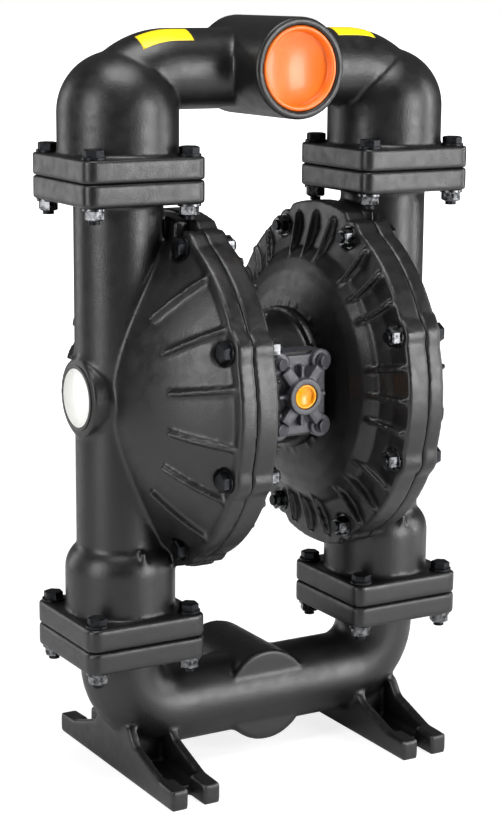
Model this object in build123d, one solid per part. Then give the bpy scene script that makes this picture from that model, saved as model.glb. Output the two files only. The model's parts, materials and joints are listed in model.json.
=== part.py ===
"""Air operated double diaphragm pump, 3 inch class, flanged cast housings.

Millimetres, +Z up, floor at z = 0. X runs along the diaphragm rod. The discharge
port and the air inlet face -Y, the suction port faces +Y.
"""
from build123d import *
from math import asin, atan2, cos, degrees, radians, sin, sqrt
import os

os.makedirs("parts", exist_ok=True)

# ---- layout
rod_z = 425.5  # rod axis over the floor
low_joint_z = 163.0  # suction manifold flange meets the fluid chamber
high_joint_z = 656.9  # fluid chamber meets the discharge manifold
flange_t = 24.0
flange_w = 140.0
flange_corner_r = 12.0
flange_bolt_pitch = 110.0
gap = 0.3  # air left between parts that only pass each other

# ---- fasteners
bolt_r = 6.0
hole_clear = 0.5
bolt_af = 19.0
head_h = 8.0
nut_h = 10.0
washer_r = 12.5
washer_t = 2.5
small_bolt_r = 4.0
small_bolt_af = 13.0
small_head_h = 5.5
nut_overrun = 4.0  # thread standing out past a nut
screw_grip = 12.0  # length of thread a small screw has in the middle section

# ---- housings
wall = 8.0
pipe_r = 47.5  # vertical pipe of a fluid chamber
bell_r = 60.0  # swelling round the suction ball
bell_h = 74.0
bell_neck_h = 26.0  # height over which the swelling runs back into the pipe
seam_x = 105.5  # diaphragm plane of a chamber pair
stack_x = seam_x + bell_r + 1.5  # valve stacks either side of the middle
chamber_r = 192.0
outer_flange_t = 19.5
inner_flange_t = 24.5
bore_r = 148.0  # open radius of a diaphragm chamber
bolt_circle_r = 175.0
chamber_bolts = 8
lobe_r = 19.0
boss_r = 42.0  # round boss on the outboard end of a fluid chamber
boss_face_x = 217.0
label_r = 35.0
label_t = 1.2
rib_t = 5.0
rib_h = 7.0  # how far the wedge ribs stand off the dome
web_w = 92.0  # saddle web between pipe and dome, at the rod axis
web_top_w = 74.0

# ---- check valves
ball_r = 41.0
seat_bore_r = 33.0
seat_r = 52.0
seat_t = 12.0
ball_lift = 16.0
room_r = ball_r + 11.0  # open room round a ball
ring_w = 5.0
cage_t = 7.0

# ---- manifolds
dome_r = 64.0  # elbow over the discharge ball
dome_z = 724.0  # centre of the dome's ball end
dome_inset = 7.0  # the bend starts this far inside the dome's side
top_pipe_r = 42.5
top_bend_r = 75.0
top_pipe_z = 767.5
low_pipe_r = 44.5
low_pipe_z = 67.5
low_bend_r = 57.5
low_flange_t = 24.5
port_boss_r = 53.0
port_lift = 2.5  # the discharge port sits this much over its pipe's axis
port_thread_depth = 30.0
port_edge = 2.0  # chamfer on the rim of a port
branch_step = 2.0  # a branch bore is this much smaller in radius than its pipe's bore
port_face_y = 92.0
port_thread_r = 43.0
plug_r = 44.1
plug_seat = 14.0
plug_wall = 5.0
plug_floor = 4.0
suction_face_y = 92.0

# ---- feet
foot_x = 147.5
foot_w = 59.0
foot_len = 138.0
foot_h = 22.0
foot_floor_t = 11.0
foot_wall_t = 11.0
foot_slot_w = 18.0
foot_slot_len = 34.0
foot_rib_h = 42.0

# ---- air side
hub_r = 80.0
hub_half = 42.0
rod_r = 14.0
rod_fit = 0.05
disc_hub_r = 20.0
plate_r = 88.0
plate_t = 9.0
sheet_t = 4.0
sheet_bead_r = 157.0
sheet_wave_h = 9.0
air_floor_x = hub_half + wall + 4.0  # inside face of an air chamber's floor
bushing_wall = 6.0
bushing_len = 18.0
seal_wall = 5.0
seal_len = 8.0
exhaust_floor = 16.0  # metal left between the rod bore and the exhaust bore
valve_face_y = 99.0
valve_half_x = 36.0
valve_half_z = 46.0
valve_back_y = 62.0
valve_mid_y = 90.0
gasket_t = 1.0
spool_r = 7.0
spool_fit = 0.03
sleeve_r = 10.5
spool_half = 20.0
end_plug_t = 7.0
exhaust_r = 12.5
inlet_r = 19.7
inlet_face_y = 111.0
inlet_thread_r = 12.5
inlet_plug_r = 13.2
inlet_plug_seat = 6.0
inlet_plug_wall = 3.0
inlet_plug_floor = 2.0
cap_inset = 3.0
cap_web_t = 7.0
cap_web_drop = 5.0  # the X of webs stands this far below the inlet face
lug_x = 26.0
lug_z = 35.5
lug_r = 10.0


def cyl(r, a, b):
    """Upright round bar from z = a to z = b."""
    return Pos(0, 0, a) * Cylinder(r, b - a, align=(Align.CENTER, Align.CENTER, Align.MIN))


def rod_x(r, a, b, y=0.0, z=rod_z):
    """Round bar along X from x = a to x = b."""
    return Pos(0, y, z) * Rot(0, 90, 0) * cyl(r, a, b)


def rod_y(r, a, b, x=0.0, z=0.0):
    """Round bar along Y from y = a to y = b."""
    return Pos(x, 0, z) * Rot(-90, 0, 0) * cyl(r, a, b)


def turned_x(*outline):
    """Solid of revolution about the rod axis; outline points are (x, radius)."""
    face = make_face(Polyline(*[(x, 0, rod_z + r) for x, r in outline], close=True))
    return revolve(face, Axis((0, 0, rod_z), (1, 0, 0)), 360)


def turned_z(*outline):
    """Solid of revolution about the Z axis; outline points are (radius, z)."""
    face = make_face(Polyline(*[(r, 0, z) for r, z in outline], close=True))
    return revolve(face, Axis.Z, 360)


def hexagon(af, a, b):
    """Upright hexagon bar, af across flats, from z = a to z = b."""
    return Pos(0, 0, a) * extrude(RegularPolygon(af / 2, 6, major_radius=False), b - a)


def bolt(r, af, head, under, tip, washer=True):
    """Hex bolt standing on Z: head seat at z = under, shank down to z = tip."""
    top = under + (washer_t if washer else 0)
    body = cyl(r, tip, top) + hexagon(af, top, top + head)
    body = body & turned_z((0, tip), (af, tip), (af, top + head * 0.75),
                           (af * 0.5, top + head), (0, top + head))
    if washer:
        body += cyl(min(washer_r, af * 0.66), under, top)
    return body


def nut(r, af, height, top):
    """Hex nut with its washer, tight under z = top on a shank of radius r."""
    body = hexagon(af, top - washer_t - height, top - washer_t)
    body += cyl(min(washer_r, af * 0.66), top - washer_t, top)
    return body - cyl(r, top - height - 2 * washer_t, top + 1)


def mirrored(shape):
    return mirror(shape, Plane.YZ)


# ================================================================ stack flanges
def flange(z0, thickness, x=stack_x):
    """Square four-bolt flange with rounded corners and softened edges."""
    plate = Pos(x, 0, z0) * extrude(RectangleRounded(flange_w, flange_w, flange_corner_r), thickness)
    return chamfer(plate.faces().sort_by(Axis.Z)[-1].edges() + plate.faces().sort_by(Axis.Z)[0].edges(), 1.2)


def flange_spots(x=stack_x):
    half = flange_bolt_pitch / 2
    return [(x + sx * half, sy * half) for sx in (-1, 1) for sy in (-1, 1)]


def drill_flange(shape, z0, z1):
    for x, y in flange_spots():
        shape -= Pos(x, y, 0) * cyl(bolt_r + hole_clear, z0, z1)
    return shape


def flange_bolts(z_low, z_high):
    """Eight bolts and eight nuts of one manifold; the heads are on top."""
    reach = z_low - washer_t - nut_h - nut_overrun
    one = bolt(bolt_r, bolt_af, head_h, z_high, reach)
    end = nut(bolt_r, bolt_af, nut_h, z_low)
    spots = flange_spots() + flange_spots(-stack_x)
    heads = Compound(children=[Pos(x, y, 0) * one for x, y in spots])
    ends = Compound(children=[Pos(x, y, 0) * end for x, y in spots])
    return heads, ends


# ================================================================ check valves
def ball_rest_z(joint_z):
    """Centre of a ball resting on the edge of its seat bore."""
    return joint_z + seat_t + sqrt(ball_r ** 2 - seat_bore_r ** 2)


def seat(joint_z):
    ring = turned_z((seat_bore_r, joint_z), (seat_r, joint_z), (seat_r, joint_z + seat_t),
                    (seat_bore_r, joint_z + seat_t))
    groove = turned_z((seat_r - ring_w, joint_z - 1), (seat_r + 1, joint_z - 1),
                      (seat_r + 1, joint_z + ring_w), (seat_r - ring_w, joint_z + ring_w))
    return Pos(stack_x, 0, 0) * (ring - groove)


def seat_ring(joint_z):
    outline = Pos(seat_r - ring_w / 2, 0, joint_z + ring_w / 2) * Rot(90, 0, 0) * RectangleRounded(
        ring_w, ring_w, ring_w * 0.3)
    return Pos(stack_x, 0, 0) * revolve(outline, Axis.Z, 360)


def ball(joint_z):
    return Pos(stack_x, 0, ball_rest_z(joint_z)) * Sphere(ball_r)


def ball_room(joint_z):
    """Hollow round a ball: seat pocket, round room and the way out at the top."""
    stop_z = ball_rest_z(joint_z) + ball_r + ball_lift
    pocket = cyl(seat_r, joint_z - 1, joint_z + seat_t)
    room = cyl(room_r, joint_z + seat_t, stop_z - room_r * 0.45)
    cap = turned_z((0, stop_z - room_r * 0.45), (room_r, stop_z - room_r * 0.45),
                   (pipe_r - wall, stop_z + 6), (0, stop_z + 6))
    return Pos(stack_x, 0, 0) * (pocket + room + cap)


def cage(joint_z):
    """Four ribs that guide a ball and stop it at the top of its lift."""
    rest = ball_rest_z(joint_z)
    stop = rest + ball_r + ball_lift
    ribs = Part()
    for turn in (0, 90):
        ribs += Rot(0, 0, turn) * Pos(0, 0, (joint_z + seat_t + 1 + stop + 6) / 2) * Box(
            2 * (room_r + 12), cage_t, stop + 6 - joint_z - seat_t - 1)
    swept = cyl(ball_r + gap, joint_z, rest + ball_lift)
    swept += Pos(0, 0, rest + ball_lift) * Sphere(ball_r + rod_fit)
    core = cyl(seat_bore_r * 0.5, stop - 8, stop + 20)
    return Pos(stack_x, 0, 0) * (ribs - swept - core)


# ================================================================ fluid chamber
def dome_outline(grow=0.0):
    """Outer (x, radius) line of the fluid dome from its flange in to the boss."""
    start = (seam_x + outer_flange_t - 4, bore_r + wall + 24 + grow)
    middle = (seam_x + 62 + grow * 0.6, bore_r * 0.78 + grow)
    end = (stack_x + 26 + grow, boss_r)
    return ThreePointArc((start[0], 0, rod_z + start[1]), (middle[0], 0, rod_z + middle[1]),
                         (end[0], 0, rod_z + end[1]))


def dome_solid():
    line = dome_outline()
    a, b = line @ 0, line @ 1
    rest = Polyline((b.X, 0, b.Z), (b.X, 0, rod_z), (seam_x, 0, rod_z), (seam_x, 0, a.Z), (a.X, 0, a.Z))
    return revolve(make_face([line, rest]), Axis((0, 0, rod_z), (1, 0, 0)), 360)


def dome_hollow():
    mid = seam_x + 48
    line = ThreePointArc((seam_x, 0, rod_z + bore_r), (mid, 0, rod_z + bore_r * 0.72),
                         (stack_x + 12, 0, rod_z + 20))
    rest = Polyline((stack_x + 12, 0, rod_z + 20), (stack_x + 12, 0, rod_z), (seam_x, 0, rod_z),
                    (seam_x, 0, rod_z + bore_r))
    return revolve(make_face([line, rest]), Axis((0, 0, rod_z), (1, 0, 0)), 360)


def ring_flange(x0, x1, r):
    """Round flange with an ear at each bolt."""
    disc = rod_x(r, x0, x1)
    for y, z in bolt_spots():
        disc += rod_x(lobe_r, x0, x1, y, z)
    return disc


def bolt_spots():
    """Chamber bolt centres as (y, z) on the bolt circle."""
    step = 360 / chamber_bolts
    turns = [radians((i + 0.5) * step) for i in range(chamber_bolts)]
    return [(bolt_circle_r * sin(t), rod_z + bolt_circle_r * cos(t)) for t in turns]


def dome_gussets():
    """Long wedge ribs standing on the dome, in the sectors clear of the pipe."""
    fins = Part()
    outline = dome_outline(grow=rib_h)
    a, b = outline @ 0, outline @ 1
    base = Polyline((b.X, 0, b.Z), (seam_x + 30, 0, rod_z + boss_r), (seam_x + 6, 0, a.Z), (a.X, 0, a.Z))
    plate = extrude(make_face([outline, base]), rib_t / 2, both=True)
    hub = rod_x(bore_r * 0.8, 0, boss_face_x)
    for side in (-1, 1):
        for turn in (40, 60, 80, 100, 120, 140):
            fins += Pos(0, 0, rod_z) * Rot(side * turn, 0, 0) * Pos(0, 0, -rod_z) * (plate - hub)
    return fins


def fluid_chamber():
    low_top = low_joint_z + flange_t + 2
    high_bottom = high_joint_z - flange_t - 1
    body = dome_solid() + ring_flange(seam_x, seam_x + outer_flange_t, chamber_r)
    body += dome_gussets()
    body += Pos(stack_x, 0, 0) * cyl(pipe_r, low_joint_z + 5, high_joint_z - 5)
    # saddle where the pipe runs into the dome
    web = loft([Pos(stack_x - 22, 0, rod_z) * Rectangle(60, web_w),
                Pos(stack_x - 14, 0, rod_z + bore_r + 34) * Rectangle(40, web_top_w)])
    body += web + mirror(web, Plane.XY.offset(rod_z))
    body += rod_x(boss_r, stack_x - 20, boss_face_x)
    body += flange(low_joint_z, flange_t + 2) + flange(high_joint_z - flange_t - 1, flange_t + 1)
    bell_top = low_joint_z + flange_t + bell_h
    drop, inset = bell_neck_h, bell_r - pipe_r + 1
    swell = (inset ** 2 + drop ** 2) / (2 * inset)
    half_turn = asin(drop / swell) / 2
    middle = (bell_r - swell * (1 - cos(half_turn)), 0, bell_top - drop + swell * sin(half_turn))
    bell_line = ThreePointArc((bell_r, 0, bell_top - drop), middle, (pipe_r - 1, 0, bell_top))
    bell_rest = Polyline((pipe_r - 1, 0, bell_top), (0, 0, bell_top), (0, 0, low_joint_z + 5),
                         (bell_r, 0, low_joint_z + 5), (bell_r, 0, bell_top - drop))
    body += Pos(stack_x, 0, 0) * revolve(make_face([bell_line, bell_rest]), Axis.Z, 360)
    # flow spaces
    hollow = dome_hollow() + ball_room(low_joint_z)
    hollow += Pos(stack_x, 0, 0) * cyl(pipe_r - wall, bell_top - 14, high_joint_z + 1)
    body -= hollow
    body += cage(low_joint_z) & (Pos(stack_x, 0, 0) * cyl(bell_r - 2, low_joint_z, bell_top + 4))
    bead = rod_x(sheet_bead_r + gap, seam_x - 1, seam_x + sheet_t / 2)
    body -= bead - rod_x(bore_r - 20, seam_x - 2, seam_x + 9)
    for y, z in bolt_spots():
        body -= rod_x(bolt_r + hole_clear, seam_x - 1, seam_x + outer_flange_t + 30, y, z)
        body -= rod_x(washer_r + 1, seam_x + outer_flange_t, seam_x + outer_flange_t + 40, y, z)
    body = drill_flange(body, low_joint_z - 1, low_top + 1)
    body = drill_flange(body, high_bottom - 1, high_joint_z + 1)
    for x, y in flange_spots():
        body -= Pos(x, y, 0) * cyl(washer_r + 1, low_top, low_top + 40)
        body -= Pos(x, y, 0) * cyl(washer_r + 1, high_bottom - 40, high_bottom)
    return body


# ================================================================ air chamber
def air_chamber():
    back = seam_x - inner_flange_t
    body = turned_x((hub_half, 0), (hub_half, hub_r), (hub_half + 6, hub_r + 10), (back - 4, bore_r + 16),
                    (back, chamber_r + 3), (seam_x, chamber_r + 3), (seam_x, 0))
    for y, z in bolt_spots():
        body += rod_x(lobe_r, back, seam_x, y, z)
    fin = make_face(Polyline((hub_half, 0, rod_z + hub_r - 6), (hub_half, 0, rod_z + hub_r + 2),
                             (back - 16, 0, rod_z + bore_r + 4), (back - 8, 0, rod_z + chamber_r - 10),
                             (back + 2, 0, rod_z + chamber_r - 6), (back + 2, 0, rod_z + hub_r), close=True))
    plate = extrude(fin, rib_t / 2, both=True)
    step = 360 / chamber_bolts
    for i in range(chamber_bolts):
        for part_step in (0.25, 0.5, 0.75):
            turn = (i + 0.5 + part_step) * step
            body += Pos(0, 0, rod_z) * Rot(turn, 0, 0) * Pos(0, 0, -rod_z) * plate
    hollow = turned_x((air_floor_x, 0), (air_floor_x, 60), (back - 10, bore_r - 26),
                      (back + 6, bore_r), (seam_x + 1, bore_r), (seam_x + 1, 0))
    body -= hollow
    body -= rod_x(rod_r + bushing_wall, hub_half - 1, air_floor_x + 1)
    bead = rod_x(sheet_bead_r + gap, seam_x - sheet_t / 2, seam_x + 1)
    body -= bead - rod_x(bore_r - 20, seam_x - 9, seam_x + 9)
    for y, z in bolt_spots():
        body -= rod_x(bolt_r + hole_clear, back - 30, seam_x + 1, y, z)
        body -= rod_x(washer_r + 1, back - 40, back, y, z)
    for y, z in hub_spots():
        body -= rod_x(small_bolt_r + gap, hub_half - 1, air_floor_x + 2, y, z)
    return body


def hub_spots():
    """Screw centres (y, z) that hold an air chamber to the middle section."""
    reach = (hub_r - 32) * sqrt(0.5)
    return [(sy * reach, rod_z + sz * reach) for sy in (-1, 1) for sz in (-1, 1)]


def chamber_fasteners():
    one = bolt(bolt_r, bolt_af, head_h, seam_x + outer_flange_t,
               seam_x - inner_flange_t - washer_t - nut_h - nut_overrun)
    end = nut(bolt_r, bolt_af, nut_h, seam_x - inner_flange_t)
    turn = Rot(0, 90, 0)
    heads = Compound(children=[Pos(0, y, z) * turn * one for y, z in bolt_spots()])
    ends = Compound(children=[Pos(0, y, z) * turn * end for y, z in bolt_spots()])
    return heads, ends


# ================================================================ rod and diaphragms
def diaphragm():
    """Rubber sheet with one rolled wave between the plates and the clamped bead."""
    inner, outer = plate_r + 3, bore_r - 3
    mid = (inner + outer) / 2
    top = Polyline((seam_x + sheet_t / 2, disc_hub_r), (seam_x + sheet_t / 2, inner))
    top += ThreePointArc((seam_x + sheet_t / 2, inner), (seam_x + sheet_t / 2 + sheet_wave_h, mid),
                         (seam_x + sheet_t / 2, outer))
    top += Polyline((seam_x + sheet_t / 2, outer), (seam_x + sheet_t / 2, sheet_bead_r),
                    (seam_x - sheet_t / 2, sheet_bead_r), (seam_x - sheet_t / 2, outer))
    top += ThreePointArc((seam_x - sheet_t / 2, outer), (seam_x - sheet_t / 2 + sheet_wave_h, mid),
                         (seam_x - sheet_t / 2, inner))
    top += Polyline((seam_x - sheet_t / 2, inner), (seam_x - sheet_t / 2, disc_hub_r),
                    (seam_x + sheet_t / 2, disc_hub_r))
    face = make_face(Plane(origin=(0, 0, rod_z), x_dir=(1, 0, 0), z_dir=(0, -1, 0)) * top)
    return revolve(face, Axis((0, 0, rod_z), (1, 0, 0)), 360)


def outer_plate():
    """Fluid side piston: dished disc, hub and nut end in one turned piece."""
    face = seam_x + sheet_t / 2
    return turned_x((face - sheet_t, 0), (face - sheet_t, disc_hub_r), (face, disc_hub_r), (face, plate_r),
                    (face + plate_t * 0.5, plate_r), (face + plate_t, plate_r * 0.8),
                    (face + plate_t, disc_hub_r + 6), (face + plate_t + 8, disc_hub_r - 2),
                    (face + plate_t + 8, 0))


def inner_plate():
    face = seam_x - sheet_t / 2
    return turned_x((face, rod_r), (face, plate_r), (face - plate_t * 0.5, plate_r),
                    (face - plate_t, plate_r * 0.8), (face - plate_t, rod_r + 8),
                    (face - plate_t - 4, rod_r + 6), (face - plate_t - 4, rod_r))


def bushing():
    start, end = hub_half - bushing_len, hub_half + 2
    return rod_x(rod_r + bushing_wall, start, end) - rod_x(rod_r + rod_fit, start - 1, end + 1)


def rod_seal():
    end = hub_half - bushing_len
    return rod_x(rod_r + seal_wall, end - seal_len, end) - rod_x(rod_r + rod_fit, end - seal_len - 1, end + 1)


# ================================================================ middle section
def center_section():
    body = rod_x(hub_r - 6, -hub_half, hub_half)
    for a, b in ((-hub_half, 9 - hub_half), (hub_half - 9, hub_half)):
        body += rod_x(hub_r, a, b)
    body += Pos(0, valve_back_y, rod_z) * Box(
        2 * valve_half_x - 10, 2 * (hub_r - valve_back_y), 2 * valve_half_z)
    front = valve_back_y + 100
    body -= Pos(0, -front + 50, rod_z) * Box(2 * valve_half_x + 2 * gap, 100, 2 * valve_half_z + 2 * gap)
    body -= rod_x(rod_r + 1.5, -hub_half - 1, hub_half + 1)
    seal_end = hub_half - bushing_len
    pocket = rod_x(rod_r + seal_wall, seal_end - seal_len, seal_end)
    pocket += rod_x(rod_r + bushing_wall, seal_end, hub_half + 1)
    body -= pocket + mirrored(pocket)
    body -= rod_y(exhaust_r, rod_r + exhaust_floor, hub_r + 1, 0, rod_z)
    for y, z in hub_spots():
        body -= rod_x(small_bolt_r, -hub_half - 1, screw_grip + 1 - hub_half, y, z)
        body -= rod_x(small_bolt_r, hub_half - screw_grip - 1, hub_half + 1, y, z)
    for x, z in valve_screw_spots():
        body -= rod_y(small_bolt_r, -valve_back_y - 1, screw_grip + 3 - valve_back_y, x, z)
    return body


def hub_screws():
    one = bolt(small_bolt_r, small_bolt_af, small_head_h, air_floor_x, hub_half - screw_grip, washer=False)
    right = [Pos(0, y, z) * Rot(0, 90, 0) * one for y, z in hub_spots()]
    return Compound(children=right + [mirrored(s) for s in right])


def valve_screw_spots():
    return [(sx * lug_x, rod_z + sz * lug_z) for sx in (-1, 1) for sz in (-1, 1)]


def spool_y():
    return -(valve_back_y + valve_mid_y - gasket_t) / 2


def valve_body():
    depth = valve_mid_y - gasket_t - valve_back_y
    block = Pos(0, -(valve_back_y + depth / 2), rod_z) * Box(2 * valve_half_x, depth, 2 * valve_half_z)
    block = fillet(block.edges().filter_by(Axis.Y), 6)
    block -= rod_x(sleeve_r, -valve_half_x - 1, valve_half_x + 1, spool_y())
    block -= rod_y(inlet_thread_r * 0.6, -valve_mid_y, spool_y(), 0, rod_z)
    for x, z in valve_screw_spots():
        block -= rod_y(small_bolt_r + gap, -valve_mid_y, 1 - valve_back_y, x, z)
    return block


def valve_sleeve():
    half = valve_half_x - end_plug_t
    tube = rod_x(sleeve_r, -half, half, spool_y())
    tube -= rod_x(spool_r + spool_fit, -half - 1, half + 1, spool_y())
    return tube - rod_y(inlet_thread_r * 0.4, -valve_mid_y, spool_y(), 0, rod_z)


def valve_spool():
    body = rod_x(spool_r, -spool_half, spool_half, spool_y())
    for x in (-spool_half / 2, spool_half / 2):
        land = rod_x(spool_r + 1, x - 3, x + 3, spool_y()) - rod_x(spool_r * 0.6, x - 4, x + 4, spool_y())
        body -= land
    return body


def valve_end_plugs():
    disc = rod_x(sleeve_r, valve_half_x - end_plug_t, valve_half_x, spool_y())
    disc -= rod_x(4, valve_half_x - 3, valve_half_x + 1, spool_y())
    return Compound(children=[disc, mirrored(disc)])


def valve_gasket():
    sheet = Pos(0, gasket_t / 2 - valve_mid_y, rod_z) * Box(2 * valve_half_x, gasket_t, 2 * valve_half_z)
    sheet = fillet(sheet.edges().filter_by(Axis.Y), 6)
    sheet -= rod_y(inlet_thread_r, -valve_mid_y - 1, 1 - valve_mid_y + gasket_t, 0, rod_z)
    for x, z in valve_screw_spots():
        sheet -= rod_y(small_bolt_r + gap, -valve_mid_y - 1, 2 - valve_mid_y, x, z)
    return sheet


def valve_cap():
    """Front cap: plate, four lugs, an X of webs and the air inlet boss."""
    plate_y = (valve_face_y + valve_mid_y) / 2
    body = Pos(0, -(plate_y + valve_mid_y) / 2, rod_z) * Box(
        2 * (valve_half_x - cap_inset), plate_y - valve_mid_y, 2 * (valve_half_z - cap_inset))
    body = fillet(body.edges().filter_by(Axis.Y), 5)
    tilt = degrees(atan2(lug_z, lug_x))
    web_y = inlet_face_y - cap_web_drop
    for turn in (-tilt, tilt):
        web = Box(2 * sqrt(lug_x ** 2 + lug_z ** 2), web_y - valve_mid_y, cap_web_t)
        body += Pos(0, -(web_y + valve_mid_y) / 2, rod_z) * Rot(0, turn, 0) * web
    for x, z in valve_screw_spots():
        body -= rod_y(lug_r, -inlet_face_y, -valve_face_y, x, z)
        body += rod_y(lug_r, -valve_face_y, -valve_mid_y, x, z)
    body += rod_y(inlet_r, -inlet_face_y, -valve_mid_y, 0, rod_z)
    body -= rod_y(inlet_thread_r, -inlet_face_y - 1, 1 - valve_mid_y, 0, rod_z)
    body -= rod_y(inlet_plug_r + gap, -inlet_face_y - 1, inlet_plug_seat - inlet_face_y, 0, rod_z)
    for x, z in valve_screw_spots():
        body -= rod_y(small_bolt_r + gap, -valve_face_y - 1, 1 - valve_mid_y, x, z)
    return body


def valve_screws():
    tip = valve_back_y - screw_grip
    one = bolt(small_bolt_r, small_bolt_af, small_head_h, valve_face_y, tip, washer=False)
    return Compound(children=[Pos(x, 0, z) * Rot(90, 0, 0) * one for x, z in valve_screw_spots()])


# ================================================================ manifolds
def bend(pivot_x, pivot_z, reach, r, up):
    """Quarter bend of a round pipe, turned about a line along Y through the pivot."""
    ring = Pos(pivot_x + reach, 0, pivot_z) * Circle(r)
    return revolve(ring, Axis((pivot_x, 0, pivot_z), (0, -1 if up else 1, 0)), 90)


def top_elbow(grow=0.0):
    """Domed ball housing running over into the level discharge pipe."""
    pivot_x, pivot_z = stack_x - dome_r + dome_inset, top_pipe_z - top_bend_r
    run = bend(pivot_x, pivot_z, top_bend_r, top_pipe_r + grow, True)
    run += rod_x(top_pipe_r + grow, 0, pivot_x, 0, top_pipe_z)
    dome = cyl(dome_r + grow, high_joint_z + seat_t / 2, dome_z) + Pos(0, 0, dome_z) * Sphere(dome_r + grow)
    return run + Pos(stack_x, 0, 0) * dome


def discharge_manifold():
    top = high_joint_z + flange_t
    half = top_elbow() + flange(high_joint_z, flange_t)
    half -= top_elbow(-wall) + (Pos(stack_x, 0, 0) * cyl(seat_r, high_joint_z - 1, high_joint_z + seat_t))
    half += cage(high_joint_z) & top_elbow(-2)
    half = drill_flange(half, high_joint_z - 1, top + 1)
    for x, y in flange_spots():
        half -= Pos(x, y, 0) * cyl(washer_r + 1, top, top + 40)
    body = half + mirrored(half)
    port_z, seat_y = top_pipe_z + port_lift, plug_seat - port_face_y
    boss = rod_y(port_boss_r, -port_face_y, top_pipe_r + 4, 0, port_z)
    body += chamfer(boss.edges().filter_by(GeomType.CIRCLE), port_edge)
    body -= rod_x(top_pipe_r - wall, -stack_x / 2, stack_x / 2, 0, top_pipe_z)
    body -= rod_y(plug_r + gap, -port_face_y - 1, seat_y, 0, port_z)
    body -= rod_y(port_thread_r, -port_face_y, seat_y + port_thread_depth, 0, port_z)
    return body - rod_y(top_pipe_r - wall - branch_step, -port_face_y, 0, 0, top_pipe_z)


def low_run(grow=0.0):
    """U-shaped run of pipe from one flange down, across and up to the other."""
    top, turn_z, turn_x = low_joint_z - 2, low_pipe_z + low_bend_r, stack_x - low_bend_r
    mid = low_bend_r * sqrt(0.5)
    path = Line((stack_x, 0, top), (stack_x, 0, turn_z))
    path += ThreePointArc((stack_x, 0, turn_z), (turn_x + mid, 0, turn_z - mid), (turn_x, 0, low_pipe_z))
    path += Line((turn_x, 0, low_pipe_z), (-turn_x, 0, low_pipe_z))
    path += ThreePointArc((-turn_x, 0, low_pipe_z), (-turn_x - mid, 0, turn_z - mid), (-stack_x, 0, turn_z))
    path += Line((-stack_x, 0, turn_z), (-stack_x, 0, top))
    return sweep(Plane(origin=(stack_x, 0, top), z_dir=(0, 0, -1)) * Circle(low_pipe_r + grow), path)


def foot():
    """Channel section foot under the manifold, slotted and open at both ends."""
    line = [(-foot_len, 0), (-foot_len, foot_h), (-foot_len + foot_slot_len, foot_h + 2),
            (-foot_len * 0.36, foot_rib_h), (-low_pipe_r * 0.82, low_pipe_z - 8),
            (low_pipe_r * 0.82, low_pipe_z - 8), (foot_len * 0.36, foot_rib_h),
            (foot_len - foot_slot_len, foot_h + 2), (foot_len, foot_h), (foot_len, 0)]
    side = make_face(Polyline(*[(0, y, z) for y, z in line], close=True))
    bar = Pos(foot_x, 0, 0) * extrude(side, foot_w / 2, both=True)
    trough_w = foot_w - 2 * foot_wall_t
    start = low_pipe_r * 0.6
    for sy in (-1, 1):
        middle = sy * (start + foot_len - foot_slot_len) / 2
        bar -= Pos(foot_x, middle, foot_floor_t + 50) * Box(trough_w, foot_len - foot_slot_len - start, 100)
        bar -= Pos(foot_x, sy * foot_len, 0) * Box(foot_slot_w, 2 * foot_slot_len, 200)
    return bar


def suction_manifold():
    under = low_joint_z - low_flange_t
    side = drill_flange(flange(under, low_flange_t), under - 1, low_joint_z + 1) + foot()
    body = low_run() + side + mirrored(side)
    boss = rod_y(port_boss_r, 8 - low_pipe_r, suction_face_y, 0, low_pipe_z)
    body += chamfer(boss.edges().filter_by(GeomType.CIRCLE), port_edge)
    body -= low_run(-wall)
    for x in (-stack_x, stack_x):
        body -= Pos(x, 0, 0) * cyl(seat_bore_r, low_joint_z - 10, low_joint_z + 1)
    body -= rod_y(port_thread_r, suction_face_y - port_thread_depth, suction_face_y + 1, 0, low_pipe_z)
    return body - rod_y(low_pipe_r - wall - branch_step, 0, suction_face_y, 0, low_pipe_z)


def discharge_plug():
    port_z, back = top_pipe_z + port_lift, plug_seat - port_face_y
    cup = rod_y(plug_r, 1 - port_face_y, back, 0, port_z)
    return cup - rod_y(plug_r - plug_wall, -port_face_y, back - plug_floor, 0, port_z)


def inlet_plug():
    back = inlet_plug_seat - inlet_face_y
    cup = rod_y(inlet_plug_r, 1 - inlet_face_y, back, 0, rod_z)
    return cup - rod_y(inlet_plug_r - inlet_plug_wall, -inlet_face_y, back - inlet_plug_floor, 0, rod_z)


def label_disc():
    return mirrored(rod_x(label_r, boss_face_x, boss_face_x + label_t))


# ================================================================ write the pieces
def write(name, shape):
    export_step(shape, "parts/" + name + ".step")


fluid = fluid_chamber()
air = air_chamber()
heads, ends = chamber_fasteners()
low_heads, low_ends = flange_bolts(low_joint_z - low_flange_t, low_joint_z + flange_t + 2)
high_heads, high_ends = flange_bolts(high_joint_z - flange_t - 1, high_joint_z + flange_t)
rubber, dish, back_dish = diaphragm(), outer_plate(), inner_plate()

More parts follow.
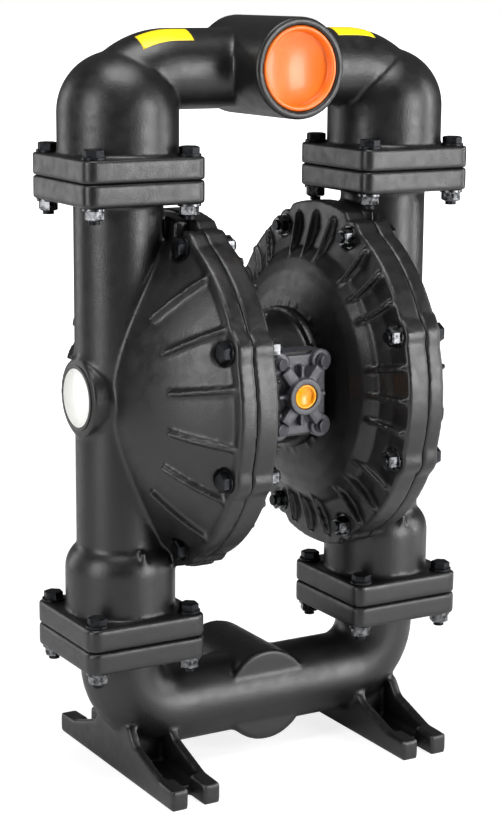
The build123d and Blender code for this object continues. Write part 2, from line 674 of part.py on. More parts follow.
write("right_fluid_chamber", fluid)
write("left_fluid_chamber", mirrored(fluid))
write("right_air_chamber", air)
write("left_air_chamber", mirrored(air))
write("right_chamber_bolts", heads)
write("left_chamber_bolts", mirrored(heads))
write("right_chamber_nuts", ends)
write("left_chamber_nuts", mirrored(ends))
write("suction_manifold", suction_manifold())
write("discharge_manifold", discharge_manifold())
write("suction_flange_bolts", low_heads)
write("suction_flange_nuts", low_ends)
write("discharge_flange_bolts", high_heads)
write("discharge_flange_nuts", high_ends)
for name, level in (("suction", low_joint_z), ("discharge", high_joint_z)):
    seats, rings = seat(level), seat_ring(level)
    write(name + "_seats", Compound(children=[seats, mirrored(seats)]))
    write(name + "_seat_rings", Compound(children=[rings, mirrored(rings)]))
    write("right_" + name + "_ball", ball(level))
    write("left_" + name + "_ball", mirrored(ball(level)))
write("diaphragm_rod", rod_x(rod_r, sheet_t / 2 - seam_x, seam_x - sheet_t / 2))
write("right_diaphragm", rubber)
write("left_diaphragm", mirrored(rubber))
write("outer_plates", Compound(children=[dish, mirrored(dish)]))
write("inner_plates", Compound(children=[back_dish, mirrored(back_dish)]))
write("rod_bushings", Compound(children=[bushing(), mirrored(bushing())]))
write("rod_seals", Compound(children=[rod_seal(), mirrored(rod_seal())]))
write("center_section", center_section())
write("hub_screws", hub_screws())
write("valve_body", valve_body())
write("valve_gasket", valve_gasket())
write("valve_cap", valve_cap())
write("valve_screws", valve_screws())
write("valve_sleeve", valve_sleeve())
write("valve_spool", valve_spool())
write("valve_end_plugs", valve_end_plugs())
write("discharge_plug", discharge_plug())
write("inlet_plug", inlet_plug())
write("label_disc", label_disc())
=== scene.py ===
import json
from math import atan2, cos, hypot, pi, radians, sin
import bmesh
import bpy
from mathutils import Matrix, Vector
from mathutils.bvhtree import BVHTree


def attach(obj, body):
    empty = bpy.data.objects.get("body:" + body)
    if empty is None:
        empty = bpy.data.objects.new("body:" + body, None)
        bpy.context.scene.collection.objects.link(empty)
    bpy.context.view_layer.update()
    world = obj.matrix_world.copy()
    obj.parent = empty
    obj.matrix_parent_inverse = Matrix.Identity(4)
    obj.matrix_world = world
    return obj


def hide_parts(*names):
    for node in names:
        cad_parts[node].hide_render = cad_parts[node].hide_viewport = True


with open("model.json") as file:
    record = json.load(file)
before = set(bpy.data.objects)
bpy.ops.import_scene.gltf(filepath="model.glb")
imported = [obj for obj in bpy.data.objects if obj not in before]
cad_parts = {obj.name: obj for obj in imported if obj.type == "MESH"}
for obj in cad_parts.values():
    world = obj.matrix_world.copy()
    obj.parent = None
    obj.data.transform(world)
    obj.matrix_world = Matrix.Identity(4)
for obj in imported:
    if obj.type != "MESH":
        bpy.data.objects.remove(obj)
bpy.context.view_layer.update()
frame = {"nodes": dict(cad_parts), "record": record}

MM = 0.001

# ------------------------------------------------------------------ camera
azimuth, elevation, roll = radians(-30.434), radians(12.065), radians(0.461)
back = Vector((sin(azimuth) * cos(elevation), -cos(azimuth) * cos(elevation), sin(elevation)))
level = Vector((cos(azimuth), sin(azimuth), 0.0))
upright = back.cross(level)
right = level * cos(roll) + upright * sin(roll)
up = upright * cos(roll) - level * sin(roll)
lens = bpy.data.cameras.new("studio_camera")
lens.sensor_width = 36.0
lens.lens = 87.24
lens.clip_end = 50
camera = bpy.data.objects.new("studio_camera", lens)
turn = Matrix((right, up, back)).transposed().to_4x4()
camera.matrix_world = Matrix.Translation((-1.1163, -1.8923, 0.8542)) @ turn
bpy.context.collection.objects.link(camera)
bpy.context.scene.camera = camera
bpy.context.scene.view_settings.view_transform = "Standard"

# ------------------------------------------------------------------ sizes, in mm
stack_x = 167.0  # valve stacks either side of the middle
rod_z = 425.5  # rod axis over the floor
half_pitch = 55.0  # half of a stack flange's bolt pitch
bolt_ring = 175.0  # radius of a chamber's bolt circle
rim_face_x = 125.0  # chamber flanges, where the screw heads sit
rim_back_x = 81.0  # and where the nuts sit
rim_tip = 15.5  # a rim screw stands this far past its nut's seat
stack_tip = 16.5  # and a stack flange's screw this far
stack_seats = (("suction_flange", 189.0, 138.5), ("discharge_flange", 680.9, 631.9))  # heads, nuts
rim_r = 188.0  # chamber rim as drawn between its bolt lugs
rim_end_r = 200.0  # every rim lies inside this radius, and every stack flange outside
neck_half_y = 62.0  # bells and pipes stand within this of the middle
lug_reach, lug_blend = 25.0, 8.0  # a lug fades out this far from its bolt, over this length
cap_screw_x, cap_screw_z = 26.0, 35.5
cap_back_y = 90.5  # the cap's raised forms start inside it here
lug_face_y, arm_face_y, fin_face_y = 98.8, 105.5, 103.0  # and end here
cap_screw_seat_y = 99.0
port_z = 770.0  # axis of the discharge port
badge_x, badge_r, badge_face_r = -217.0, 35.0, 31.5
lifted_ball_z = 709.2  # a discharge ball against its stops
ball_clear_r = 41.3  # a 41 mm ball and a little air
merge_dist = 0.002
sides = (("left", -1), ("right", 1))
bolt_turns = [(i + 0.5) * pi / 4 for i in range(8)]
ring = [(bolt_ring * sin(t), bolt_ring * cos(t)) for t in bolt_turns]
flange_corners = [(sx * stack_x + ax * half_pitch, ay * half_pitch)
                  for sx in (-1, 1) for ax in (-1, 1) for ay in (-1, 1)]
cap_corners = [(sx * cap_screw_x, sz * cap_screw_z) for sx in (-1, 1) for sz in (-1, 1)]


# ------------------------------------------------------------------ colour and node helpers
def paint(code):
    """sRGB hex code to linear RGBA."""
    parts = [int(code[i:i + 2], 16) / 255 for i in (0, 2, 4)]
    return tuple(c / 12.92 if c <= 0.04045 else ((c + 0.055) / 1.055) ** 2.4 for c in parts) + (1.0,)


def add(tree, kind, links=None, **settings):
    """Adds a node; links maps a socket name or number to a value or to another node's output."""
    made = tree.nodes.new(kind)
    for key, value in settings.items():
        setattr(made, key, value)
    for key, value in (links or {}).items():
        if isinstance(value, bpy.types.NodeSocket):
            tree.links.new(value, made.inputs[key])
        else:
            made.inputs[key].default_value = value
    return made


def new_material(name):
    mat = bpy.data.materials.new(name)
    mat.use_nodes = True
    mat.node_tree.nodes.clear()
    tree = mat.node_tree
    shader = add(tree, "ShaderNodeBsdfPrincipled")
    add(tree, "ShaderNodeOutputMaterial", {"Surface": shader.outputs[0]})
    return mat, tree, shader


def dress(obj, mat):
    obj.data.materials.clear()
    obj.data.materials.append(mat)


# ------------------------------------------------------------------ materials
def epoxy_coated_casting(name, grain_mm, wear, dark="0a0a0b", pale="181717"):
    """Black epoxy powder coat baked on a sand cast body: satin, with cast grain under it."""
    mat, tree, shader = new_material(name)
    place = add(tree, "ShaderNodeTexCoord").outputs["Object"]
    # sand grain, drawn a little coarse so that it shows
    grain = add(tree, "ShaderNodeTexNoise", {"Vector": place, "Scale": 1000 / grain_mm, "Detail": 3.0,
                                             "Roughness": 0.6})
    # orange peel and casting waves, 12 and 45 mm
    peel = add(tree, "ShaderNodeTexNoise", {"Vector": place, "Scale": 1000 / 12, "Detail": 2.0})
    wave = add(tree, "ShaderNodeTexNoise", {"Vector": place, "Scale": 1000 / 45, "Detail": 3.0})
    tone = add(tree, "ShaderNodeValToRGB", {"Fac": wave.outputs["Fac"]})
    tone.color_ramp.elements[0].color = paint(dark)
    tone.color_ramp.elements[1].color = paint(pale)
    sheen = add(tree, "ShaderNodeMapRange", {"Value": peel.outputs["Fac"], "From Min": 0.3, "From Max": 0.7,
                                             "To Min": 0.3, "To Max": 0.42})
    base, rough = tone.outputs["Color"], sheen.outputs[0]
    if wear:
        # rubbed edges show a paler grey where the coat has worn thin
        edge = add(tree, "ShaderNodeNewGeometry").outputs["Pointiness"]
        worn = add(tree, "ShaderNodeMapRange", {"Value": edge, "From Min": 0.53, "From Max": 0.60})
        patch = add(tree, "ShaderNodeTexNoise", {"Vector": place, "Scale": 1000 / 9, "Detail": 4.0})
        spot = add(tree, "ShaderNodeMapRange", {"Value": patch.outputs["Fac"], "From Min": 0.5,
                                                "From Max": 0.66})
        amount = add(tree, "ShaderNodeMath", {0: worn.outputs[0], 1: spot.outputs[0]}, operation="MULTIPLY")
        some = add(tree, "ShaderNodeMath", {0: amount.outputs[0], 1: wear}, operation="MULTIPLY")
        base = add(tree, "ShaderNodeMix", {0: some.outputs[0], 6: base, 7: paint("7a7875")},
                   data_type="RGBA").outputs[2]
    low = add(tree, "ShaderNodeBump", {"Height": wave.outputs["Fac"], "Strength": 0.25,
                                       "Distance": 1.2 * MM})
    mid = add(tree, "ShaderNodeBump", {"Height": peel.outputs["Fac"], "Strength": 0.3, "Distance": 0.5 * MM,
                                       "Normal": low.outputs[0]})
    fine = add(tree, "ShaderNodeBump", {"Height": grain.outputs["Fac"], "Strength": 0.7,
                                        "Distance": 0.3 * MM, "Normal": mid.outputs[0]})
    tree.links.new(base, shader.inputs["Base Color"])
    tree.links.new(rough, shader.inputs["Roughness"])
    tree.links.new(fine.outputs[0], shader.inputs["Normal"])
    shader.inputs["IOR"].default_value = 1.5
    return mat


def metal(name, dark, pale, metallic, rough_low, rough_high, spot_mm, rounding_mm=0.4):
    """Machined or plated metal: tone and gloss vary in small spots, edges catch the light."""
    mat, tree, shader = new_material(name)
    place = add(tree, "ShaderNodeTexCoord").outputs["Object"]
    spots = add(tree, "ShaderNodeTexNoise", {"Vector": place, "Scale": 1000 / spot_mm, "Detail": 4.0})
    tone = add(tree, "ShaderNodeValToRGB", {"Fac": spots.outputs["Fac"]})
    tone.color_ramp.elements[0].position = 0.35
    tone.color_ramp.elements[1].position = 0.65
    tone.color_ramp.elements[0].color = paint(dark)
    tone.color_ramp.elements[1].color = paint(pale)
    gloss = add(tree, "ShaderNodeMapRange", {"Value": spots.outputs["Fac"], "From Min": 0.3, "From Max": 0.7,
                                             "To Min": rough_low, "To Max": rough_high})
    soft = add(tree, "ShaderNodeBevel", {"Radius": rounding_mm * MM}, samples=4)
    marks = add(tree, "ShaderNodeBump", {"Height": spots.outputs["Fac"], "Strength": 0.15,
                                         "Distance": 0.1 * MM, "Normal": soft.outputs[0]})
    tree.links.new(tone.outputs["Color"], shader.inputs["Base Color"])
    tree.links.new(gloss.outputs[0], shader.inputs["Roughness"])
    tree.links.new(marks.outputs[0], shader.inputs["Normal"])
    shader.inputs["Metallic"].default_value = metallic
    return mat


def moulded(name, low, high, rough_low, rough_high, flow_mm, coat=0.0):
    """Moulded plastic or rubber: slow flow shading and a faint skin texture."""
    mat, tree, shader = new_material(name)
    place = add(tree, "ShaderNodeTexCoord").outputs["Object"]
    flow = add(tree, "ShaderNodeTexNoise", {"Vector": place, "Scale": 1000 / flow_mm, "Detail": 2.0})
    skin = add(tree, "ShaderNodeTexNoise", {"Vector": place, "Scale": 1000 / 1.2, "Detail": 2.0})
    tone = add(tree, "ShaderNodeValToRGB", {"Fac": flow.outputs["Fac"]})
    tone.color_ramp.elements[0].color = paint(low)
    tone.color_ramp.elements[1].color = paint(high)
    gloss = add(tree, "ShaderNodeMapRange", {"Value": skin.outputs["Fac"], "From Min": 0.3, "From Max": 0.7,
                                             "To Min": rough_low, "To Max": rough_high})
    soft = add(tree, "ShaderNodeBevel", {"Radius": 0.6 * MM}, samples=4)
    bump = add(tree, "ShaderNodeBump", {"Height": skin.outputs["Fac"], "Strength": 0.12,
                                        "Distance": 0.1 * MM, "Normal": soft.outputs[0]})
    tree.links.new(tone.outputs["Color"], shader.inputs["Base Color"])
    tree.links.new(gloss.outputs[0], shader.inputs["Roughness"])
    tree.links.new(bump.outputs[0], shader.inputs["Normal"])
    shader.inputs["IOR"].default_value = 1.46
    shader.inputs["Coat Weight"].default_value = coat
    shader.inputs["Coat Roughness"].default_value = 0.08
    return mat


CASTING = epoxy_coated_casting("epoxy_coated_sand_casting", 1.8, 0.0)
VALVE_CASTING = epoxy_coated_casting("epoxy_coated_die_casting", 1.0, 0.0, "38383d", "4a4a50")
FOOT_CASTING = epoxy_coated_casting("epoxy_coated_casting_rubbed", 1.4, 0.9)
BLACK_OXIDE = metal("black_oxide_steel", "17181a", "2b2c2f", 0.9, 0.34, 0.5, 5)
BLACK_ZINC = metal("black_zinc_plated_steel", "2c2d2f", "77787a", 1.0, 0.2, 0.36, 5)
ZINC = metal("zinc_plated_steel", "5f6062", "a3a4a5", 1.0, 0.25, 0.45, 4)
MACHINED = metal("machined_aluminium", "b8babc", "d4d5d7", 1.0, 0.22, 0.34, 6)
GROUND = metal("ground_stainless_steel", "c4c5c8", "dcdde0", 1.0, 0.12, 0.2, 6)
BRASS = metal("machined_brass", "b08a45", "cba45c", 1.0, 0.2, 0.32, 6)
NITRILE = moulded("moulded_nitrile_rubber", "161616", "232323", 0.5, 0.62, 20)
ACETAL = moulded("machined_acetal", "d8d6cd", "e9e7df", 0.4, 0.5, 20)
ORANGE = moulded("injection_moulded_polyethylene", "e4620c", "ee7216", 0.3, 0.4, 30, 0.15)
AMBER = moulded("injection_moulded_translucent_polyethylene", "ff9a00", "ffb310", 0.25, 0.35, 12, 0.2)
VINYL_WHITE = moulded("printed_vinyl_white", "e9e9e4", "f4f4f0", 0.3, 0.4, 30, 0.1)
VINYL_RIM = moulded("printed_vinyl_dark", "1c1d1c", "262726", 0.3, 0.42, 30, 0.1)
VINYL_YELLOW = moulded("printed_vinyl_yellow", "f0d000", "f6dc14", 0.34, 0.44, 30, 0.1)


# ------------------------------------------------------------------ meshes
def put(name, data):
    """New object of the scene, at the origin."""
    piece = bpy.data.objects.new(name, data)
    bpy.context.collection.objects.link(piece)
    return piece


def put_edited(name, made):
    """The same from an edited mesh."""
    mesh = bpy.data.meshes.new(name)
    made.to_mesh(mesh)
    made.free()
    return put(name, mesh)


def bake(piece, smooth=True):
    """Turns an object's modifiers into a plain mesh at the origin."""
    graph = bpy.context.evaluated_depsgraph_get()
    baked = bpy.data.meshes.new_from_object(piece.evaluated_get(graph))
    piece.modifiers.clear()
    piece.data = baked
    if smooth:
        baked.shade_smooth()


def lathe(name, outline, centre, along, steps=96):
    """Closed turned piece from (radius, distance) points in mm, spun about a line through the centre."""
    made = bmesh.new()
    rows = []
    side = Vector((0, 0, 1)) if abs(along.z) < 0.5 else Vector((1, 0, 0))
    other = along.cross(side)
    turns = [2 * pi * i / steps for i in range(steps)]
    for r, d in outline:
        hub = centre + along * d
        spots = [hub + (side * cos(t) + other * sin(t)) * r for t in turns] if r else [hub]
        rows.append([made.verts.new(spot * MM) for spot in spots])
    for a, b in zip(rows, rows[1:]):
        for i in range(steps):
            loop = [a[i % len(a)], a[(i + 1) % len(a)], b[(i + 1) % len(b)], b[i % len(b)]]
            made.faces.new([v for n, v in enumerate(loop) if v not in loop[:n]])
    bmesh.ops.recalc_face_normals(made, faces=made.faces)
    piece = put_edited(name, made)
    piece.data.shade_smooth()
    return piece


def cap_bar(lean, start, end, half_w, face_y):
    """Straight bar on the valve cap, from radius start to end at an angle, as high as face_y."""
    along, side = Vector((cos(lean), 0, sin(lean))), Vector((-sin(lean), 0, cos(lean)))
    made = bmesh.new()
    for y in (cap_back_y, face_y):
        for r, w in ((start, -half_w), (end, -half_w), (end, half_w), (start, half_w)):
            made.verts.new((along * r + side * w + Vector((0, -y, rod_z))) * MM)
    made.verts.ensure_lookup_table()
    for loop in ((0, 3, 2, 1), (4, 5, 6, 7), (0, 1, 5, 4), (1, 2, 6, 5), (2, 3, 7, 6), (3, 0, 4, 7)):
        made.faces.new([made.verts[i] for i in loop])
    bmesh.ops.recalc_face_normals(made, faces=made.faces)
    return put_edited("cap_bar", made)


# ------------------------------------------------------------------ castings
def rim_radius(v):
    """How far out a rim vertex of a chamber flange stands; 0 for every other vertex."""
    y, z = v.co.y / MM, v.co.z / MM - rod_z
    r = hypot(y, z)
    on_rim = rim_r < r < rim_end_r and abs(v.co.x) < (rim_face_x + 0.5) * MM
    return r if on_rim and abs(y) > neck_half_y else 0


def trim_rim(mesh):
    """Draws the rim of a chamber flange in between its bolt lugs."""
    long = [e for e in mesh.edges if e.calc_length() > 5 * MM and all(rim_radius(v) for v in e.verts)]
    bmesh.ops.subdivide_edges(mesh, edges=long, cuts=5)
    for v in mesh.verts:
        r = rim_radius(v)
        if r:
            y, z = v.co.y / MM, v.co.z / MM - rod_z
            off = min(hypot(y - a, z - b) for a, b in ring)
            keep = min(1.0, max(0.0, (lug_reach - off) / lug_blend))
            new = (rim_r + (r - rim_r) * keep * keep * (3 - 2 * keep)) / r
            v.co.y, v.co.z = y * new * MM, (rod_z + z * new) * MM


def cast_skin(node, voxel_mm, passes, mat, extra=(), shape=None):
    """Skin of a casting: the solid with its corners filled and its edges rounded as sand leaves them."""
    made = bmesh.new()
    made.from_mesh(frame["nodes"][node].data)
    for other in extra:
        made.from_mesh(other.data)
        bpy.data.objects.remove(other)
    bmesh.ops.remove_doubles(made, verts=made.verts, dist=merge_dist * MM)
    if shape:
        shape(made)
    piece = put_edited("skin_" + node, made)
    skin = piece.modifiers.new("skin", "REMESH")
    skin.mode = "VOXEL"
    skin.voxel_size = voxel_mm * MM
    relax = piece.modifiers.new("relax", "SMOOTH")
    relax.factor = 0.5
    relax.iterations = passes
    bake(piece)
    dress(piece, mat)
    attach(piece, "housing")
    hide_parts(node)
    return piece


def chamber_bowl(sign):
    """The bowl of an air chamber, swelling between its hub and its ring of short ribs."""
    outline = [(80, 43), (100, 45.5), (118, 50.5), (132, 57.5), (142, 65.5), (149, 75), (140, 74),
               (110, 62), (90, 52), (80, 47), (80, 43)]
    return lathe("bowl", outline, Vector((0, 0, rod_z)), Vector((sign, 0, 0)))


def cap_relief():
    """Lugs, arms and fins of the valve cap."""
    lug_r, arm_half_w, fin_half_w = 12.5, 6.5, 2
    arm_start, arm_end = 10, 36
    fin_start, level_fin_end, upright_fin_end = 12, 29, 33
    relief = []
    for x, z in cap_corners:
        relief.append(cap_bar(atan2(z, x), arm_start, arm_end, arm_half_w, arm_face_y))
        outline = [(0, cap_back_y), (lug_r, cap_back_y), (lug_r, lug_face_y), (0, lug_face_y)]
        relief.append(lathe("lug", outline, Vector((x, 0, rod_z + z)), Vector((0, -1, 0)), 48))
    for i in range(4):
        fin_end = upright_fin_end if i % 2 else level_fin_end
        relief.append(cap_bar(i * pi / 2, fin_start, fin_end, fin_half_w, fin_face_y))
    return relief


def clear_lifted_balls(piece):
    """Keeps the skin just clear of the discharge balls where they rest against their stops."""
    for sign in (-1, 1):
        middle = Vector((sign * stack_x, 0, lifted_ball_z)) * MM
        for v in piece.data.vertices:
            if (v.co - middle).length < ball_clear_r * MM:
                v.co = middle + (v.co - middle).normalized() * ball_clear_r * MM


for side, sign in sides:
    cast_skin(side + "_fluid_chamber", 2.2, 8, CASTING, shape=trim_rim)
    cast_skin(side + "_air_chamber", 2.0, 2, CASTING, extra=[chamber_bowl(sign)], shape=trim_rim)
cast_skin("center_section", 2.2, 3, CASTING)
cast_skin("valve_body", 1.2, 3, VALVE_CASTING)
cast_skin("valve_cap", 0.9, 2, VALVE_CASTING, extra=cap_relief())
cast_skin("suction_manifold", 2.4, 4, FOOT_CASTING)
top_skin = cast_skin("discharge_manifold", 2.2, 4, CASTING)
clear_lifted_balls(top_skin)


# ------------------------------------------------------------------ screws, as one repeated tree
def screw_tree():
    """One screw or nut on each point: washer, flanks, crown and shank, standing along its own Z."""
    tree = bpy.data.node_groups.new("hex_screw_set", "GeometryNodeTree")
    face = tree.interface
    face.new_socket("Geometry", in_out="INPUT", socket_type="NodeSocketGeometry")
    for label, value in (("Across flats", 19.0), ("Head height", 8.0), ("Shank radius", 6.0),
                         ("Reach", 50.0), ("Washer radius", 12.5), ("Washer thickness", 2.5)):
        socket = face.new_socket(label, in_out="INPUT", socket_type="NodeSocketFloat")
        socket.default_value = value * MM
    face.new_socket("Sides", in_out="INPUT", socket_type="NodeSocketInt").default_value = 6
    face.new_socket("Turn", in_out="INPUT", socket_type="NodeSocketRotation")
    face.new_socket("Material", in_out="INPUT", socket_type="NodeSocketMaterial")
    face.new_socket("Geometry", in_out="OUTPUT", socket_type="NodeSocketGeometry")
    size = add(tree, "NodeGroupInput").outputs

    # lengths worked out from the inputs: a share of one size, plus a second size or nothing
    length = {}
    for name, source, share, extra in (
            ("corner", "Across flats", 0.5774, 0.0), ("crown top", "Across flats", 0.47, 0.0),
            ("flank", "Head height", 0.86, 0.0), ("crown", "Head height", 0.14, 0.0),
            ("flank middle", "Head height", 0.43, size["Washer thickness"]),
            ("crown foot", "Head height", 0.86, size["Washer thickness"]),
            ("washer middle", "Washer thickness", 0.5, 0.0), ("shank middle", "Reach", -0.5, 0.0)):
        node = add(tree, "ShaderNodeMath", {0: size[source], 1: share, 2: extra}, operation="MULTIPLY_ADD")
        length[name] = node.outputs[0]

    flanks = add(tree, "GeometryNodeMeshCylinder", {
        "Vertices": size["Sides"], "Radius": length["corner"], "Depth": length["flank"]})
    crown = add(tree, "GeometryNodeMeshCone", {
        "Vertices": size["Sides"], "Radius Top": length["crown top"], "Radius Bottom": length["corner"],
        "Depth": length["crown"]})
    washer = add(tree, "GeometryNodeMeshCylinder", {
        "Vertices": 48, "Radius": size["Washer radius"], "Depth": size["Washer thickness"]})
    shank = add(tree, "GeometryNodeMeshCylinder", {
        "Vertices": 32, "Radius": size["Shank radius"], "Depth": size["Reach"]})
    one = add(tree, "GeometryNodeJoinGeometry")
    for shape, height in ((flanks, "flank middle"), (crown, "crown foot"), (washer, "washer middle"),
                          (shank, "shank middle")):
        lift = add(tree, "ShaderNodeCombineXYZ", {"Z": length[height]})
        moved = add(tree, "GeometryNodeTransform", {
            "Geometry": shape.outputs["Mesh"], "Translation": lift.outputs[0]})
        tree.links.new(moved.outputs[0], one.inputs[0])
    spread = add(tree, "GeometryNodeInstanceOnPoints", {
        "Points": size["Geometry"], "Instance": one.outputs[0], "Rotation": size["Turn"]})
    real = add(tree, "GeometryNodeRealizeInstances", {"Geometry": spread.outputs[0]})
    done = add(tree, "GeometryNodeSetMaterial", {"Geometry": real.outputs[0], "Material": size["Material"]})
    add(tree, "NodeGroupOutput", {"Geometry": done.outputs[0]})
    return tree


SCREWS = screw_tree()


def screw_set(name, spots, turn, node, mat, slot, sides=6, **lengths):
    """One mesh of screws standing on the spots, in place of the named CAD node; lengths in mm."""
    points = bpy.data.meshes.new(name)
    points.from_pydata([Vector(p) * MM for p in spots], [], [])
    piece = put(name, points)
    mod = piece.modifiers.new("screws", "NODES")
    mod.node_group = SCREWS
    ids = {s.name: s.identifier for s in SCREWS.interface.items_tree if s.in_out == "INPUT"}
    for label, value in lengths.items():
        mod[ids[label.replace("_", " ")]] = value * MM
    mod[ids["Sides"]] = sides
    mod[ids["Turn"]] = turn
    mod[ids["Material"]] = mat
    bake(piece, smooth=False)
    dress(piece, mat)
    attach(piece, "housing")
    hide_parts(node)


# stack flanges: heads on top, nuts under
for name, seat_z, under_z in stack_seats:
    screw_set(name + "_screws", [(x, y, seat_z) for x, y in flange_corners], (0, 0, 0.35),
              name + "_bolts", BLACK_OXIDE, "bolt_black", Reach=seat_z - under_z + stack_tip)
    screw_set(name + "_hex_nuts", [(x, y, under_z) for x, y in flange_corners], (pi, 0, 0.2),
              name + "_nuts", BLACK_ZINC, "nut_zinc", Head_height=10.0, Reach=1.0)
# chamber flanges: heads outboard, nuts towards the middle
for side, sign in sides:
    screw_set(side + "_rim_screws", [(sign * rim_face_x, y, rod_z + z) for y, z in ring],
              (0, sign * pi / 2, 0), side + "_chamber_bolts", BLACK_OXIDE, "bolt_black",
              Reach=rim_face_x - rim_back_x + rim_tip)
    screw_set(side + "_rim_nuts", [(sign * rim_back_x, y, rod_z + z) for y, z in ring],
              (0, -sign * pi / 2, 0), side + "_chamber_nuts", BLACK_ZINC, "bolt_black",
              Head_height=10.0, Reach=1.0)
# the cap's round heads are painted over with the cap
screw_set("cap_screws", [(x, -cap_screw_seat_y, rod_z + z) for x, z in cap_corners],
          (pi / 2, 0, 0.3), "valve_screws", VALVE_CASTING, "bolt_black", sides=32, Across_flats=11.2,
          Head_height=4.9, Shank_radius=4.0, Reach=48.0, Washer_radius=8.0, Washer_thickness=0.6)


# ------------------------------------------------------------------ turned and patched pieces
def cup(name, r, depth, wall, floor, face_y, z, node, body, mat):
    """Moulded pipe plug: rolled rim, drafted cup and flat floor."""
    rim = wall * 0.3
    inner = r - wall - depth * 0.04
    outline = [(0, depth), (r - rim, depth), (r, depth - rim), (r, rim), (r - rim, 0), (r - wall + rim, 0),
               (r - wall, rim), (inner, depth - floor - rim), (inner - rim, depth - floor),
               (0, depth - floor)]
    piece = lathe(name, outline, Vector((0, face_y, z)), Vector((0, 1, 0)))
    dress(piece, mat)
    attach(piece, body)
    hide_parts(node)


cup("port_cup", 44.1, 13.0, 5.0, 4.0, -91.0, port_z, "discharge_plug", "port_plug", ORANGE)
cup("air_cup", 13.2, 5.0, 3.0, 1.6, -110.0, rod_z, "inlet_plug", "air_plug", AMBER)


def badge():
    """Bare round label: white face inside a dark printed rim."""
    centre, out = Vector((badge_x, 0, rod_z)), Vector((-1, 0, 0))
    face_outline = [(0, 0.4), (badge_face_r, 0.4), (badge_face_r, 1.15), (0, 1.15)]
    rim_outline = [(badge_face_r, 0), (badge_r, 0), (badge_r, 1.0), (badge_r - 0.3, 1.2),
                   (badge_face_r, 1.2), (badge_face_r, 0)]
    face = lathe("badge_face", face_outline, centre, out)
    dress(face, VINYL_WHITE)
    rim = lathe("badge_rim", rim_outline, centre, out)
    dress(rim, VINYL_RIM)
    for piece in (face, rim):
        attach(piece, "housing")
    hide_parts("label_disc")


badge()


def sticker(name, skin, low, high, across=30, along=12):
    """Bare vinyl sticker pressed onto a skin from above, as thick as its film."""
    tree = BVHTree.FromObject(skin, bpy.context.evaluated_depsgraph_get())
    made = bmesh.new()
    rows = []
    for i in range(across + 1):
        row = []
        for j in range(along + 1):
            x = low[0] + (high[0] - low[0]) * i / across
            y = low[1] + (high[1] - low[1]) * j / along
            place, normal = tree.ray_cast(Vector((x * MM, y * MM, 1.0)), Vector((0, 0, -1)))[:2]
            row.append(made.verts.new(place + normal * 0.35 * MM))
        rows.append(row)
    for a, b in zip(rows, rows[1:]):
        for j in range(along):
            made.faces.new((a[j], b[j], b[j + 1], a[j + 1]))
    piece = put_edited(name, made)
    film = piece.modifiers.new("film", "SOLIDIFY")
    film.thickness = 0.3 * MM
    film.offset = -1
    bake(piece)
    dress(piece, VINYL_YELLOW)
    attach(piece, "housing")


sticker("left_sticker", top_skin, (-152, -30), (-93, -10))
sticker("right_sticker", top_skin, (88, -25), (136, -2))


# ------------------------------------------------------------------ finishes for the pieces the frame keeps
finishes = {
    "seat_metal": MACHINED, "plate_metal": MACHINED, "spool_metal": MACHINED, "rod_steel": GROUND,
    "sleeve_brass": BRASS, "rubber_black": NITRILE, "ball_rubber": NITRILE, "gasket": NITRILE,
    "bush_plastic": ACETAL, "bolt_black": BLACK_OXIDE, "nut_zinc": ZINC, "cast_black": CASTING,
    "plug_orange": ORANGE, "label_white": VINYL_WHITE,
}
for entry in frame["record"]["subparts"]:
    node = frame["nodes"].get(entry["node"])
    if node is None:
        continue
    finish = finishes[entry["material_slot"]]
    if not node.material_slots:
        node.data.materials.append(finish)
    for place in node.material_slots:
        place.material = finish


# ------------------------------------------------------------------ stage and light
def soft_room():
    """Plain soft light all round, white where the camera looks past the floor."""
    world = bpy.data.worlds.new("soft_room")
    world.use_nodes = True
    bpy.context.scene.world = world
    tree = world.node_tree
    tree.nodes.clear()
    plain = add(tree, "ShaderNodeBackground", {"Color": (1, 1, 1, 1), "Strength": 0.11})
    white = add(tree, "ShaderNodeBackground", {"Color": (1, 1, 1, 1), "Strength": 1.0})
    seen = add(tree, "ShaderNodeLightPath").outputs["Is Camera Ray"]
    mix = add(tree, "ShaderNodeMixShader", {0: seen, 1: plain.outputs[0], 2: white.outputs[0]})
    add(tree, "ShaderNodeOutputWorld", {"Surface": mix.outputs[0]})


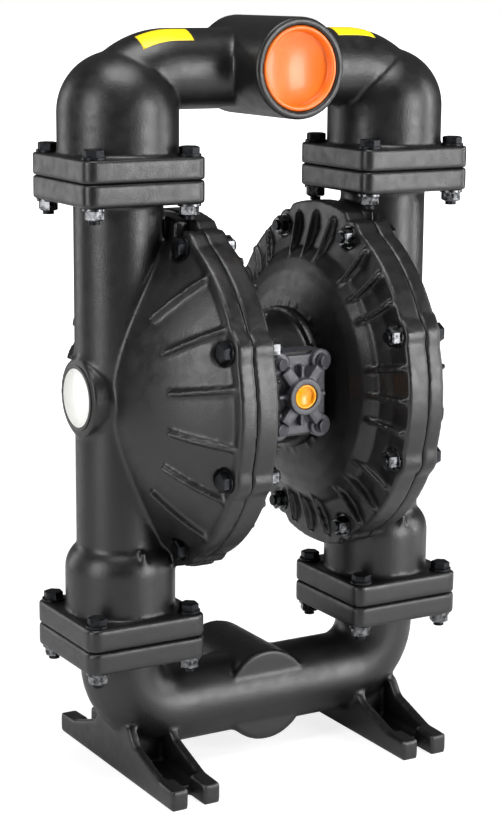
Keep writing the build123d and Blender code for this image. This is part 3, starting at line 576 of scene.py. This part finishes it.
def pale_floor():
    """The eye sees the floor close to white, with the object's shadow still on it."""
    half = 90.0
    mesh = bpy.data.meshes.new("floor")
    mesh.from_pydata([(-half, -half, 0), (half, -half, 0), (half, half, 0), (-half, half, 0)], [],
                     [(0, 1, 2, 3)])
    floor = put("floor", mesh)
    mat, tree, shader = new_material("pale_floor")
    place = add(tree, "ShaderNodeTexCoord").outputs["Object"]
    grit = add(tree, "ShaderNodeTexNoise", {"Vector": place, "Scale": 12.0})
    tone = add(tree, "ShaderNodeMapRange", {"Value": grit.outputs["Fac"], "To Min": 0.88, "To Max": 0.94})
    tree.links.new(tone.outputs[0], shader.inputs["Base Color"])
    shader.inputs["Roughness"].default_value = 0.6
    glow = add(tree, "ShaderNodeEmission", {"Color": (1, 1, 1, 1), "Strength": 1.6})
    # near the object half of what the eye sees is glow, and all of it from 3.5 m on
    spread = add(tree, "ShaderNodeVectorMath", {0: place}, operation="LENGTH")
    fade = add(tree, "ShaderNodeMapRange", {"Value": spread.outputs["Value"], "From Min": 1.2,
                                            "From Max": 3.5, "To Min": 0.5, "To Max": 1.0})
    eye = add(tree, "ShaderNodeLightPath").outputs["Is Camera Ray"]
    share = add(tree, "ShaderNodeMath", {0: eye, 1: fade.outputs[0]}, operation="MULTIPLY")
    seen = add(tree, "ShaderNodeMixShader", {0: share.outputs[0], 1: shader.outputs[0], 2: glow.outputs[0]})
    out = next(n for n in tree.nodes if n.type == "OUTPUT_MATERIAL")
    tree.links.new(seen.outputs[0], out.inputs["Surface"])
    dress(floor, mat)


soft_room()
pale_floor()


def softbox(name, place, aim, width, height, power):
    """Rectangular lamp in metres and watts, turned to its aim."""
    data = bpy.data.lights.new(name, "AREA")
    data.shape = "RECTANGLE"
    data.size, data.size_y, data.energy = width, height, power
    look = (Vector(aim) - Vector(place)).to_track_quat("-Z", "Y")
    put(name, data).matrix_world = Matrix.Translation(place) @ look.to_matrix().to_4x4()


softbox("left_box", (-2.3, -0.5, 1.1), (0, 0, 0.42), 0.9, 1.9, 40)
softbox("top_box", (-0.2, -0.4, 2.4), (0, 0, 0.4), 1.4, 1.0, 34)
softbox("right_front_box", (1.45, -2.5, 0.75), (0, 0, 0.42), 1.1, 1.9, 85)
softbox("right_box", (2.2, -0.8, 0.9), (0, 0, 0.42), 0.4, 1.7, 26)
softbox("rear_left_box", (-1.5, 2.3, 0.9), (0, 0, 0.42), 0.9, 1.8, 15)
